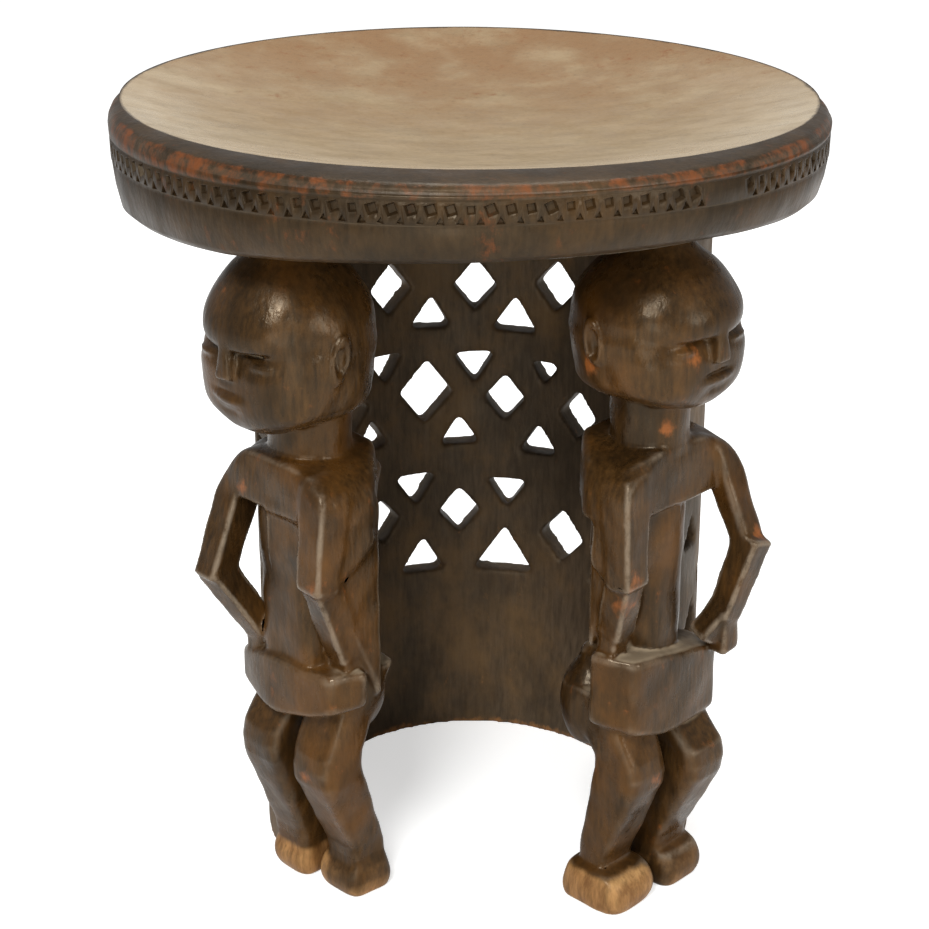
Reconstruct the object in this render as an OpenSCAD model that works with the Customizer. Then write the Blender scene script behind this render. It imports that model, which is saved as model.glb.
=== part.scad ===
// Carved stool: a dished round seat on a pierced drum wall with two standing figures.
// The real stool is carved from one block. Each node is one element of that carving,
// and neighbouring elements meet face to face.
// Frame: origin on the floor below the middle of the seat, +Z up, the open front faces -Y.

/* [Seat] */
// Outer diameter of the seat
seat_d = 350; // [300:1:420]
// Height of the rim above the floor
seat_top = 400; // [380:1:460]
// Height of the seat's side at the left and right
seat_side = 55; // [45:1:65]
// How far the underside rises from its left-right middle line to the front and back edges
under_rise = 16; // [8:1:20]
// Depth of the dish below the rim
dish_depth = 22; // [12:1:26]
// Width of the flat lip round the dish at the sides and the back
lip_w = 5; // [4.5:0.5:12]
// Width of the flat lip at the front, where the dish stops short
lip_front = 25; // [8:1:34]
// Rounding of the seat's lower edge
under_round = 16; // [8:1:22]
// Rounding of the rim's outer edge
lip_round = 4; // [2:0.5:8]
// Drop from the rim to the carved band's upper groove
band_drop = 14; // [8:1:18]
// Height of the carved band between its two grooves
band_h = 11; // [7:0.5:14]
// Width of each groove
groove_w = 1.6; // [1:0.1:3]
// Depth of each groove
groove_depth = 1; // [0.5:0.1:2]

/* [Drum wall] */
// Outer diameter of the drum wall
wall_d = 231; // [215:1:245]
// Thickness of the drum wall
wall_t = 12; // [8:0.5:16]
// Height of the solid plinth that stands on the floor
plinth_h = 93; // [60:1:95]
// Height of the solid collar between the lattice and the lowest part of the seat
collar_h = 35; // [20:1:50]
// Angle of solid wall at each end of the screen
stile_angle = 16; // [12:1:24]
// Shift of the drum and the figures to the right of the seat's middle
base_shift = 4; // [0:0.5:8]

/* [Lattice] */
// Number of lattice columns in a full turn
columns = 14; // [12:1:14]
// Height of the lowest row of diamonds above the plinth
first_row = 38; // [34:1:40]
// Height from one row of diamonds to the next
row_pitch = 72; // [66:1:74]
// Width of a diamond
diamond_w = 23; // [14:1:26]
// Height of a diamond
diamond_h = 25; // [16:1:28]
// Width of the small triangles
triangle_w = 20; // [10:1:24]
// Height of the small triangles
triangle_h = 12; // [6:1:14]
// Distance from a row of diamonds to the base of its triangles
triangle_reach = 28; // [24:1:31]
// Least height of the screen above the middle of its highest row of diamonds
last_row = 34; // [32:1:45]

/* [Figures] */
// Angle of each figure from the front of the stool
figure_angle = 46; // [42:1:50]
// How far the middle of each neck stands outside the middle of the drum wall
neck_out = 2.5; // [0:0.5:6]
// Diameter of the neck
neck_d = 45; // [36:1:50]
// Height of the neckline above the floor
neckline = 246; // [240:1:252]
// Height of the underside of the jaw above the floor
jaw_z = 270; // [262:1:276]
// Width of the head
head_w = 78; // [66:1:86]
// Depth of the head from face to nape
head_depth = 84; // [72:1:92]
// How far the middle of the head stands in front of the neck
head_out = 8; // [4:1:12]
// Height of the eyes above the jaw
eye_h = 32; // [26:1:38]
// Width of the torso below the arms
waist_w = 40; // [34:1:44]
// Depth of the torso below the arms
waist_depth = 38; // [30:1:44]
// Width across the chest between the arms
chest_w = 66; // [60:1:72]
// Height of the chest shelf
chest_h = 24; // [18:1:30]
// How far the chest shelf reaches in front of the neck's middle
chest_out = 30; // [24:1:34]
// Height of the elbows above the floor
elbow_z = 187; // [178:1:196]
// Spread of the elbows from the figure's middle plane
elbow_spread = 41; // [38:1:46]
// How far the elbows stand in front of the neck's middle
elbow_out = 32; // [26:1:36]
// How far the wrists stand in front of the neck's middle
wrist_out = 20; // [14:1:24]
// Spread of the wrists from the figure's middle plane
wrist_spread = 24; // [20:1:28]
// Diameter of the arm at the elbow
arm_d = 22; // [16:1:24]
// Height of the top of the loincloth above the floor
cloth_top = 147; // [140:1:152]
// Height of the left figure's loincloth
cloth_h_left = 27; // [20:1:36]
// Height of the right figure's loincloth
cloth_h_right = 38; // [24:1:44]
// Width of the hips
hip_w = 56; // [50:1:62]
// How far the hips reach in front of the neck's middle
hip_out = 24; // [18:1:30]
// Diameter of each buttock
buttock_d = 24; // [16:1:28]
// Diameter of the thigh at the hip
thigh_d = 32; // [26:1:34]
// Height of the knees above the floor
knee_z = 80; // [70:1:88]
// Diameter of the leg at the knee
knee_d = 29; // [22:1:32]
// How far the knees stand in front of the neck's middle
knee_out = 14; // [8:1:18]
// Height of the ankles above the floor
ankle_z = 27; // [20:1:34]
// Diameter of the leg at the ankle
ankle_d = 24; // [18:1:26]
// Spread of the feet from the figure's middle plane
foot_spread = 19; // [16:1:22]
// How far the toes reach outside the drum wall
toe_out = 2.5; // [0:0.5:8]
// Length of each foot
foot_len = 38; // [34:1:44]
// Width of each foot
foot_w = 26; // [20:1:28]
// Height of the toes
toe_h = 14; // [10:1:18]

/* [Hidden] */
SIDES = ["left", "right"];
LIMBS = ["front", "side"];

// Wood colours: the worn dish, the dark drum and the figures
dish_wood = [0.40, 0.32, 0.23];
drum_wood = [0.20, 0.16, 0.13];
figure_wood = [0.31, 0.23, 0.17];
foot_wood = [0.45, 0.30, 0.18];

seat_r = seat_d / 2;
seat_low = seat_top - seat_side;
dish_r = seat_r - lip_w;
dish_half = seat_r - (lip_front + lip_w) / 2;
wall_r = wall_d / 2;
wall_in = wall_r - wall_t;
screen_top = seat_low - collar_h;
far = 3 * seat_d;
smooth = 96;
facet = 20;
$fn = smooth;

// Radius of a circular arc from its half chord and its rise
function arc_r(half, rise) = (half * half + rise * rise) / (2 * rise);
// Points of an arc about c from angle a to angle b
function arc(c, r, a, b, n) = [for (i = [0:n]) let(t = a + (b - a) * i / n) c + r * [cos(t), sin(t)]];

under_r = arc_r(seat_r, under_rise);
dish_sphere = arc_r(dish_r, dish_depth);

// Angle from the front at which each figure stands, and its mirror sign
function turn(side) = side == "left" ? -figure_angle : figure_angle;
// The side limb is the one toward the stool's side, the front limb the one toward its open front
function limb_sign(side, limb) = (side == "left" ? 1 : -1) * (limb == "front" ? 1 : -1);
function cloth_h(side) = side == "left" ? cloth_h_left : cloth_h_right;

// The block that the seat's curved underside belongs to
module seat_envelope() {
    translate([0, 0, seat_low + under_r])
        rotate([0, 90, 0])
            cylinder(r = under_r, h = far, center = true, $fn = 4 * smooth);
}

module seat_profile() {
    low = [seat_r - under_round, seat_low + under_round];
    lip = [seat_r - lip_round, seat_top - lip_round];
    polygon(concat([[0, seat_low]],
        arc(low, under_round, -90, 0, 8),
        arc(lip, lip_round, 0, 90, 4),
        [[0, seat_top]]));
}

// The hollow of the seat: a little shorter than it is wide, and set back from the front
module dish() {
    translate([0, (lip_front - lip_w) / 2, seat_top])
        scale([1, dish_half / dish_r, 1])
            rotate_extrude()
                polygon(concat([[0, 1], [dish_r, 1]],
                    [for (i = [0:24]) let(x = dish_r * (1 - i / 24))
                        [x, -dish_depth + dish_sphere - sqrt(dish_sphere * dish_sphere - x * x)]]));
}

module band_groove(z) {
    translate([0, 0, z - groove_w / 2])
        difference() {
            cylinder(r = seat_r + 1, h = groove_w);
            cylinder(r = seat_r - groove_depth, h = groove_w);
        }
}

module seat() {
    color(dish_wood)
        difference() {
            intersection() {
                rotate_extrude() seat_profile();
                seat_envelope();
            }
            dish();
            band_groove(seat_top - band_drop);
            band_groove(seat_top - band_drop - band_h);
        }
}

// Puts a figure's own frame in place: X outward from the drum's axis, Y to the figure's left
module at_figure(side) {
    translate([base_shift, 0, 0])
        rotate([0, 0, turn(side) - 90])
            children();
}

// The front sector that the figures and the opening take out of the drum
module front_sector() {
    for (side = SIDES)
        at_figure(side)
            translate([0, side == "left" ? -waist_w / 2 : waist_w / 2 - far, -1])
                cube([far, far, far]);
}

module wall_ring(z0, z1) {
    difference() {
        translate([base_shift, 0, z0])
            cylinder(r = wall_r, h = z1 - z0);
        translate([base_shift, 0, z0 - 1])
            cylinder(r = wall_in, h = z1 - z0 + 2);
        front_sector();
    }
}

module wall_collar() {
    color(drum_wood)
        difference() {
            wall_ring(screen_top, seat_top);
            seat_envelope();
        }
}

module wall_plinth() {
    color(drum_wood) wall_ring(0, plinth_h);
}

// One opening of the lattice, cut straight out from the drum's axis at an angle from the back
module lattice_hole(angle, z, points) {
    translate([base_shift, 0, z])
        rotate([0, 0, -angle])
            translate([0, wall_r + 1, 0])
                rotate([90, 0, 0])
                    linear_extrude(wall_t + 4)
                        polygon(points);
}

diamond = [[-diamond_w / 2, 0], [0, -diamond_h / 2], [diamond_w / 2, 0], [0, diamond_h / 2]];
triangle_up = [[-triangle_w / 2, -triangle_reach], [triangle_w / 2, -triangle_reach],
    [0, triangle_h - triangle_reach]];
triangle_down = [for (p = triangle_up) -p];
column_angle = 360 / columns;
// Angle from the back to the middle of each figure's flank
end_angle = 180 - figure_angle - asin(waist_w / 2 / wall_r);
last_angle = end_angle - stile_angle;
rows = floor((screen_top - plinth_h - first_row - last_row) / row_pitch) + 1;
// Each row of diamonds starts at its own angle
row_phase = [-6, 8, -1];

module lattice_screen() {
    color(drum_wood)
        difference() {
            wall_ring(plinth_h, screen_top);
            for (row = [0:rows - 1])
                for (c = [-columns:columns]) {
                    z = plinth_h + first_row + row * row_pitch;
                    mid = row_phase[row % len(row_phase)] + c * column_angle;
                    between = mid + column_angle / 2;
                    if (abs(mid) < last_angle)
                        lattice_hole(mid, z, diamond);
                    if (abs(between) < last_angle) {
                        lattice_hole(between, z, triangle_up);
                        lattice_hole(between, z, triangle_down);
                    }
                }
        }
}

module ball(p, d) {
    translate(p) sphere(d = d, $fn = facet);
}

module rod(p, q, d1, d2) {
    hull() {
        ball(p, d1);
        ball(q, d2);
    }
}

// The half of a figure's frame on one side of its middle plane
module half_space(v) {
    translate([-far, v > 0 ? 0 : -far, -far])
        cube([2 * far, far, 2 * far]);
}

module slab(z0, z1) {
    translate([-far / 2, -far / 2, z0])
        cube([far, far, z1 - z0]);
}

// Keeps a figure's piece clear of the drum wall and the seat
module clear_of_drum() {
    difference() {
        children();
        wall_ring(-1, seat_top);
        seat_envelope();
    }
}

// Each figure stands over the drum wall's end
neck_reach = wall_r - wall_t / 2 + neck_out;
foot_reach = wall_r + toe_out;

// The head fills the space from the jaw to the seat
head_mid = neck_reach + head_out;
face_x = head_mid + head_depth / 2;
crown_z = seat_low - head_w / 3;
eye_z = jaw_z + eye_h;
jaw_d = 0.38 * head_w;
chin_d = 0.33 * head_w;
nose_d = 0.13 * head_w;
ear_d = 0.12 * head_w;

module head_shape(side) {
    half_w = head_w / 2;
    at_figure(side)
        intersection() {
            union() {
                hull() {
                    ball([head_mid - head_depth / 2 + half_w, 0, crown_z], head_w);
                    ball([face_x - 0.46 * head_w, 0, eye_z + nose_d / 2], 0.92 * head_w);
                    ball([face_x - 0.7 * chin_d, 0, jaw_z + 0.42 * chin_d], chin_d);
                    for (v = [-1, 1])
                        ball([head_mid - ear_d / 2, v * (half_w - 0.6 * jaw_d), jaw_z + 0.4 * jaw_d], jaw_d);
                }
                hull() {
                    ball([face_x - nose_d / 2, 0, eye_z], 0.6 * nose_d);
                    ball([face_x - nose_d / 3, 0, eye_z - 1.4 * nose_d], nose_d);
                }
                for (v = [-1, 1])
                    hull()
                        for (h = [-1, 1])
                            ball([head_mid - ear_d, v * (half_w - ear_d / 2.5), eye_z + h * ear_d], ear_d);
            }
            slab(jaw_z, seat_top);
        }
}

module head(side) {
    color(figure_wood) clear_of_drum() head_shape(side);
}

module neck(side) {
    color(figure_wood)
        clear_of_drum()
            at_figure(side)
                translate([neck_reach, 0, neckline])
                    cylinder(d = neck_d, h = jaw_z - neckline);
}

// The torso is a column whose back carries on down from the nape
torso_mid = neck_reach + neck_d / 2 - 0.83 * waist_depth;
back_x = torso_mid - waist_depth / 2;
body_round = waist_w / 5;
chest_front = neck_reach + chest_out;

module torso_shape(side) {
    at_figure(side)
        intersection() {
            union() {
                hull()
                    for (u = [-1, 1], v = [-1, 1])
                        translate([torso_mid + u * (waist_depth / 2 - body_round),
                            v * (waist_w / 2 - body_round), cloth_top])
                            cylinder(r = body_round, h = neckline - cloth_top, $fn = facet);
                hull()
                    for (v = [-1, 1], u = [torso_mid, chest_front - chest_h / 2])
                        ball([u, v * (chest_w - chest_h) / 2, neckline - chest_h / 2], chest_h);
            }
            slab(cloth_top, neckline);
        }
}

module torso(side) {
    color(figure_wood) clear_of_drum() torso_shape(side);
}

shoulder_out = chest_out / 4;
hand_d = 0.82 * arm_d;

module arm_shape(side, limb) {
    v = limb_sign(side, limb);
    shoulder = [neck_reach + shoulder_out, v * (chest_w / 2 + arm_d / 4), neckline - 0.6 * chest_h];
    elbow = [neck_reach + elbow_out, v * elbow_spread, elbow_z];
    wrist = [neck_reach + wrist_out, v * wrist_spread, cloth_top + hand_d / 8];
    at_figure(side) {
        rod(shoulder, elbow, 1.1 * arm_d, arm_d);
        rod(elbow, wrist, arm_d, hand_d);
    }
}

module upper_arm(side, limb) {
    color(figure_wood)
        clear_of_drum()
            difference() {
                arm_shape(side, limb);
                torso_shape(side);
                slab(-far, elbow_z);
            }
}

module forearm(side, limb) {
    color(figure_wood)
        clear_of_drum()
            difference() {
                arm_shape(side, limb);
                torso_shape(side);
                slab(elbow_z, far);
                slab(-far, cloth_top);
            }
}

hip_front_d = 0.86 * hip_out;
hip_back_d = hip_w / 2;

module loincloth_shape(side) {
    z0 = cloth_top - cloth_h(side);
    at_figure(side)
        intersection() {
            union() {
                hull()
                    for (v = [-1, 1]) {
                        translate([back_x + hip_back_d / 2, v * (hip_w - hip_back_d) / 2, z0])
                            cylinder(d = hip_back_d, h = cloth_h(side), $fn = facet);
                        translate([neck_reach + hip_out - hip_front_d / 2, v * (hip_w - hip_front_d) / 2, z0])
                            cylinder(d = hip_front_d, h = cloth_h(side), $fn = facet);
                    }
                for (v = [-1, 1])
                    ball([back_x + buttock_d / 8, v * buttock_d / 2, z0 + buttock_d / 3], buttock_d);
            }
            slab(z0, cloth_top);
        }
}

module loincloth(side) {
    color(figure_wood) clear_of_drum() loincloth_shape(side);
}

knee_x = neck_reach + knee_out;
toe_x = foot_reach - foot_w / 2;
ankle_x = foot_reach - foot_len / 2;

module leg(side, limb) {
    v = limb_sign(side, limb);
    hip = [neck_reach, v * (hip_w - thigh_d) / 2, cloth_top - cloth_h(side) + thigh_d / 3];
    knee = [knee_x, v * foot_spread, knee_z];
    ankle = [ankle_x, v * foot_spread, ankle_z];
    color(figure_wood)
        clear_of_drum()
            difference() {
                at_figure(side)
                    intersection() {
                        union() {
                            rod(hip, knee, thigh_d, knee_d);
                            rod(knee, ankle, knee_d, ankle_d);
                        }
                        half_space(v);
                    }
                slab(-far, ankle_z);
                slab(cloth_top - cloth_h(side), far);
            }
}

module foot(side, limb) {
    v = limb_sign(side, limb) * foot_spread;
    color(foot_wood)
        clear_of_drum()
            at_figure(side)
                hull() {
                    translate([toe_x - foot_len + foot_w, v, 0])
                        cylinder(d = foot_w, h = toe_h, $fn = facet);
                    translate([toe_x, v, 0])
                        cylinder(d = foot_w, h = toe_h, $fn = facet);
                    translate([ankle_x, v, 0])
                        cylinder(d = ankle_d, h = ankle_z, $fn = facet);
                }
}

seat();
wall_collar();
lattice_screen();
wall_plinth();
for (s = SIDES) {
    head(s);
    neck(s);
    torso(s);
    loincloth(s);
    for (l = LIMBS) {
        upper_arm(s, l);
        forearm(s, l);
        leg(s, l);
        foot(s, l);
    }
}
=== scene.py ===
"""Carved wooden stool: two standing figures and a pierced drum wall under a dished seat.

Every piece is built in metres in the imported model's frame. The figures are carved in
millimetres in their own frame, where u points outward from the drum's axis, w along the
figure's width towards the open front and z up, and are then set in place.
"""
import math

import bmesh
import bpy
import numpy as np
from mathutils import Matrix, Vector
from mathutils.geometry import tessellate_polygon
from mathutils.kdtree import KDTree


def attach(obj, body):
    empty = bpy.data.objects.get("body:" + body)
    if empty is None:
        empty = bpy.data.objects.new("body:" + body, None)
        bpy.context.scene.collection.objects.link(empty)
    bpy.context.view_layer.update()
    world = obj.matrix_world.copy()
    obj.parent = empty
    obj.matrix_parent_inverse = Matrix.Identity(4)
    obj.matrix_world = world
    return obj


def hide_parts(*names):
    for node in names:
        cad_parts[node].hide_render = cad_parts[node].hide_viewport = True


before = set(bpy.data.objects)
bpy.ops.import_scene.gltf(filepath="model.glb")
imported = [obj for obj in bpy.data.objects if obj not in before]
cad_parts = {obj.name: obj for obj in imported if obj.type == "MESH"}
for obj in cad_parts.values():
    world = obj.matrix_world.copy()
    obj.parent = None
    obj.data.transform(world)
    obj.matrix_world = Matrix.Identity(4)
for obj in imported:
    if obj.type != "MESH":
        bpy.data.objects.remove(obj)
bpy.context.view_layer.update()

MM = 0.001

# Camera, read from the photograph: the eye, the tilt below the horizon and the focal length
EYE = (-0.0026, -1.050, 0.6265)
TILT = math.radians(21.9)
FOCAL_PX = 2175.0
FRAME_PX = 929.0
SENSOR_MM = 36.0
FAR_CLIP = 50.0

# Lights: name, place, size in metres and watts. All of them face the stool's middle
MIDDLE = (0.0, 0.0, 0.22)
LIGHTS = [("key", (-0.4, -1.55, 1.7), 0.6, 34.0), ("fill", (1.5, -1.3, 0.8), 0.9, 13.0),
          ("front", (-0.15, -1.7, 0.30), 0.9, 5.5), ("top", (0.1, 0.4, 1.9), 1.0, 18.0)]
WORLD_COLOUR = (0.95, 0.95, 0.95, 1.0)
WORLD_LIGHT = 0.44
WORLD_SEEN = 1.06
PAPER_COLOUR = (0.90, 0.90, 0.89, 1.0)
PAPER_HALF = 6.0
PAPER_LIFT = 0.55


def make_object(name, data):
    obj = bpy.data.objects.new(name, data)
    bpy.context.scene.collection.objects.link(obj)
    return obj


def make_mesh(name, points, faces):
    mesh = bpy.data.meshes.new(name)
    mesh.from_pydata(points, [], faces)
    return mesh


def set_camera():
    data = bpy.data.cameras.new("camera")
    data.sensor_width = SENSOR_MM
    data.lens = SENSOR_MM * FOCAL_PX / FRAME_PX
    data.clip_end = FAR_CLIP
    camera = make_object("camera", data)
    camera.location = EYE
    camera.rotation_euler = (math.pi / 2 - TILT, 0.0, 0.0)
    bpy.context.scene.camera = camera


def set_lights():
    for name, place, size, watts in LIGHTS:
        data = bpy.data.lights.new(name, "AREA")
        data.shape = "DISK"
        data.size = size
        data.energy = watts
        lamp = make_object(name, data)
        lamp.location = place
        lamp.rotation_euler = (Vector(MIDDLE) - Vector(place)).to_track_quat("-Z", "Y").to_euler()
    world = bpy.data.worlds.new("studio")
    world.use_nodes = True
    back = world.node_tree.nodes["Background"]
    back.inputs["Color"].default_value = WORLD_COLOUR
    # Past the paper's edge the camera sees white, and the stool gets no more light from it
    kit = Nodes(world.node_tree)
    seen = kit.add("ShaderNodeLightPath").outputs["Is Camera Ray"]
    strength = kit.add("ShaderNodeMapRange", {"Value": seen, "To Min": WORLD_LIGHT, "To Max": WORLD_SEEN})
    kit.join(strength.outputs["Result"], back.inputs["Strength"])
    bpy.context.scene.world = world


def lay_floor():
    ends = (-PAPER_HALF, PAPER_HALF)
    mesh = make_mesh("floor", [(x, y, 0) for y in ends for x in ends], [(0, 1, 3, 2)])
    floor = make_object("floor", mesh)
    material = bpy.data.materials.new("floor_paper")
    material.use_nodes = True
    shade = material.node_tree.nodes["Principled BSDF"].inputs
    shade["Base Color"].default_value = PAPER_COLOUR
    shade["Roughness"].default_value = 0.95
    shade["Specular IOR Level"].default_value = 0.0
    # The paper looks whiter to the camera, and still shows the shadow
    kit = Nodes(material.node_tree)
    seen = kit.add("ShaderNodeLightPath").outputs["Is Camera Ray"]
    shade["Emission Color"].default_value = (1.0, 1.0, 1.0, 1.0)
    kit.join(kit.times(seen, PAPER_LIFT), shade["Emission Strength"])
    mesh.materials.append(material)


class Nodes:
    """Adds nodes to a shader or geometry tree."""

    def __init__(self, tree):
        self.tree = tree

    def join(self, source, target):
        self.tree.links.new(source, target)

    def add(self, kind, inputs=None, **values):
        """A node; values are its properties, inputs are other nodes' outputs or plain values."""
        made = self.tree.nodes.new(kind)
        for key, value in values.items():
            setattr(made, key, value)
        for key, value in (inputs or {}).items():
            if isinstance(value, bpy.types.NodeSocket):
                self.join(value, made.inputs[key])
            else:
                made.inputs[key].default_value = value
        return made

    def maths(self, operation, a, b):
        return self.add("ShaderNodeMath", {0: a, 1: b}, operation=operation).outputs[0]

    def times(self, a, b):
        return self.maths("MULTIPLY", a, b)

    def plus(self, a, b):
        return self.maths("ADD", a, b)

    def blend(self, share, a, b):
        mix = self.add("ShaderNodeMix", data_type="RGBA")
        sockets = {s.identifier: s for s in mix.inputs}
        for key, value in (("Factor_Float", share), ("A_Color", a), ("B_Color", b)):
            if isinstance(value, bpy.types.NodeSocket):
                self.join(value, sockets[key])
            else:
                sockets[key].default_value = value if key == "Factor_Float" else (*value, 1.0)
        return next(s for s in mix.outputs if s.identifier == "Result_Color")

    def ramp(self, value, low, high, a=0.0, b=1.0):
        """A soft step: a up to low, b from high on."""
        inputs = {"Value": value, "From Min": low, "From Max": high, "To Min": a, "To Max": b}
        return self.add("ShaderNodeMapRange", inputs, interpolation_type="SMOOTHSTEP").outputs["Result"]

    def noise(self, where, scale, stretch, detail, rough):
        moved = self.add("ShaderNodeMapping", {"Vector": where, "Scale": stretch}).outputs["Vector"]
        inputs = {"Vector": moved, "Scale": scale, "Detail": detail, "Roughness": rough}
        return self.add("ShaderNodeTexNoise", inputs).outputs["Fac"]


# Carving kit: signed distances in millimetres, negative inside the wood

def unit(x):
    return np.clip(x, 0, 1)


def soft_min(a, b, k):
    """The lesser of two distances, blended over k millimetres."""
    h = np.maximum(k - np.abs(a - b), 0.0) / k
    return np.minimum(a, b) - h * h * k * 0.25


def soft_max(a, b, k):
    return -soft_min(-a, -b, k)


def dot(r, n):
    return r[0] * n[0] + r[1] * n[1] + r[2] * n[2]


def plane(p, at, normal):
    """Distance in front of a plane, whose normal points out of the wood."""
    n = np.array(normal, float)
    n /= np.linalg.norm(n)
    return dot([p[i] - at[i] for i in range(3)], n)


def egg(p, at, radii):
    q = [(p[i] - at[i]) / radii[i] for i in range(3)]
    k0 = np.sqrt(q[0] ** 2 + q[1] ** 2 + q[2] ** 2)
    k1 = np.sqrt(sum((q[i] / radii[i]) ** 2 for i in range(3))) + 1e-6
    return k0 * (k0 - 1.0) / k1


def boxed(x, y, z, half, soft):
    q = [np.abs(x) - half[0] + soft, np.abs(y) - half[1] + soft, np.abs(z) - half[2] + soft]
    outside = np.sqrt(sum(np.maximum(c, 0.0) ** 2 for c in q))
    return outside + np.minimum(np.maximum(np.maximum(q[0], q[1]), q[2]), 0.0) - soft


def block(p, at, half, soft):
    return boxed(p[0] - at[0], p[1] - at[1], p[2] - at[2], half, soft)


def bar(p, a, b, half_a, half_b, soft):
    """A tapering four-sided limb from a to b; the halves are (deep along u, wide along w)."""
    a, b = np.array(a, float), np.array(b, float)
    axis = b - a
    length = np.linalg.norm(axis)
    axis /= length
    deep = np.array([1.0, 0.0, 0.0]) - axis * axis[0]
    deep /= np.linalg.norm(deep)
    r = [p[i] - a[i] for i in range(3)]
    along = dot(r, axis)
    t = unit(along / length)
    half = [half_a[i] + (half_b[i] - half_a[i]) * t for i in (0, 1)] + [length / 2]
    return boxed(dot(r, deep), dot(r, np.cross(axis, deep)), along - length / 2, half, soft)


class Wood:
    """A block of wood on a grid, in a figure's own frame."""

    def __init__(self, low, high, step):
        self.low = np.array(low, float)
        self.step = step
        self.shape = [int(math.ceil((high[i] - low[i]) / step)) + 1 for i in range(3)]
        self.field = np.full(self.shape, 30.0, np.float32)
        self.shapes = {}

    def window(self, low, high):
        """The grid cells round a shape and the coordinates of their points."""
        cells, points = [], []
        for i in range(3):
            a = max(int((low[i] - self.low[i]) / self.step), 0)
            b = min(int((high[i] - self.low[i]) / self.step) + 2, self.shape[i])
            cells.append(slice(a, b))
            size = [1, 1, 1]
            size[i] = b - a
            line = self.low[i] + self.step * np.arange(a, b)
            points.append(line.reshape(size).astype(np.float32))
        return tuple(cells), points

    def add(self, low, high, blend, part, form, *sizes):
        self.shapes.setdefault(part, []).append((form, sizes))
        cells, p = self.window(low, high)
        self.field[cells] = soft_min(self.field[cells], form(p, *sizes), blend)

    def cut(self, low, high, blend, form, *sizes):
        cells, p = self.window(low, high)
        self.field[cells] = soft_max(self.field[cells], -form(p, *sizes), blend)


def skin(field, low, step):
    """Surface nets: one point in each cell that the surface crosses, four-sided faces between."""
    inside = field < 0.0
    n = np.array(field.shape) - 1
    corners = [(i, j, k) for i in (0, 1) for j in (0, 1) for k in (0, 1)]
    count = np.zeros(n, np.uint8)
    for i, j, k in corners:
        count += inside[i:i + n[0], j:j + n[1], k:k + n[2]]
    cells = np.argwhere((count > 0) & (count < 8))
    index = np.full(n, -1, np.int64)
    index[tuple(cells.T)] = np.arange(len(cells))
    total = np.zeros((len(cells), 3))
    hits = np.zeros(len(cells))
    value = {c: field[tuple((cells + c).T)].astype(float) for c in corners}
    for c in corners:
        for axis in range(3):
            if c[axis]:
                continue
            d = list(c)
            d[axis] = 1
            a, b = value[c], value[tuple(d)]
            cross = (a < 0) != (b < 0)
            point = np.tile(np.array(c, float), (len(cells), 1))
            point[:, axis] = np.where(cross, a / np.where(cross, a - b, 1.0), 0.0)
            total[cross] += point[cross]
            hits[cross] += 1
    points = np.array(low) + step * (cells + total / hits[:, None])
    faces = []
    for axis in range(3):
        across, down = (a for a in range(3) if a != axis)
        first, second = [slice(None)] * 3, [slice(None)] * 3
        first[axis], second[axis] = slice(0, -1), slice(1, None)
        edges = np.argwhere(inside[tuple(first)] != inside[tuple(second)])
        starts_inside = inside[tuple(edges.T)]
        ring = []
        for da, db in ((0, 0), (-1, 0), (-1, -1), (0, -1)):
            cell = edges.copy()
            cell[:, across] += da
            cell[:, down] += db
            ring.append(index[tuple(cell.T)])
        quad = np.stack(ring, 1)
        flip = starts_inside if axis == 1 else ~starts_inside
        quad[flip] = quad[flip][:, ::-1]
        faces.append(quad)
    return points, np.concatenate(faces)


# Named forms of the two figures: places are (u, w, z), where w points to the open front.
# Slopes are the shoulders' near and far fall, trunk is (back, front, half width, squareness),
# panel is (back, half width) of the flank, and belt_edge is (w, lower z, upper z) across the belt
LEFT = {
    "skull_u": 122, "ear_u": 4, "chin_z": 266, "neck_u": 112, "neck_r": 20, "neckline": 246,
    "chest_front": 138.5, "pec_z": 219, "slopes": (0.7, 1.1), "trunk": (88, 135, 20, 5.0),
    "panel": (106, 36.5),
    "front_shoulder": (129.5, 31.2, 231), "front_elbow": (136.8, 31.5, 190), "front_wrist": (117, 27, 146),
    "side_shoulder": (122, -32, 233), "side_elbow": (147, -35.5, 178), "side_wrist": (126, -25, 145),
    "belt_top": 138, "belt_low": 117, "belt_back": 112, "belt_front": 129, "belt_w": (-39, 41),
    "belt_bulge": 7,
    "belt_edge": [(-40, 115, 131), (-33, 112, 133), (-17, 107.6, 137), (3, 109, 140), (23, 114, 138),
                  (41, 120.5, 140)],
    "hip_u": 101, "front_knee": (134, 16, 80), "front_ankle": (110, 11, 28), "front_back": (105, 87),
    "side_knee": (138, -19, 84), "side_ankle": (117, -22, 28), "side_back": (108, 92),
    "front_foot": (84, 112.5, 15, 10.5), "side_foot": (87, 117, 14.2, -23),
}
RIGHT = {
    "skull_u": 115, "ear_u": -4, "chin_z": 276, "neck_u": 114, "neck_r": 18.8, "neckline": 252,
    "chest_front": 134, "pec_z": 221, "slopes": (0.7, 0.7), "trunk": (91, 132, 17, 2.8), "panel": (111, 33),
    "front_shoulder": (125, 31.2, 236), "front_elbow": (129, 31.5, 190), "front_wrist": (118, 26, 158),
    "side_shoulder": (126, -34, 240), "side_elbow": (150, -40, 194), "side_wrist": (141, -29, 155),
    "belt_top": 147, "belt_low": 106, "belt_back": 110, "belt_front": 132.5, "belt_w": (-37, 38),
    "belt_bulge": 4,
    "belt_edge": [(-38, 99, 135), (-13, 99, 140.5), (8, 100, 144.5), (32, 107.5, 147.5), (39, 110, 148.5)],
    "hip_u": 95, "front_knee": (134, 14, 76), "front_ankle": (116, 15, 28), "front_back": (104, 96),
    "side_knee": (145, -20, 75), "side_ankle": (123, -20, 28), "side_back": (112, 100),
    "front_foot": (89, 129, 17.8, 15.8), "side_foot": (95, 131, 15.5, -21.5),
}
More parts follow.
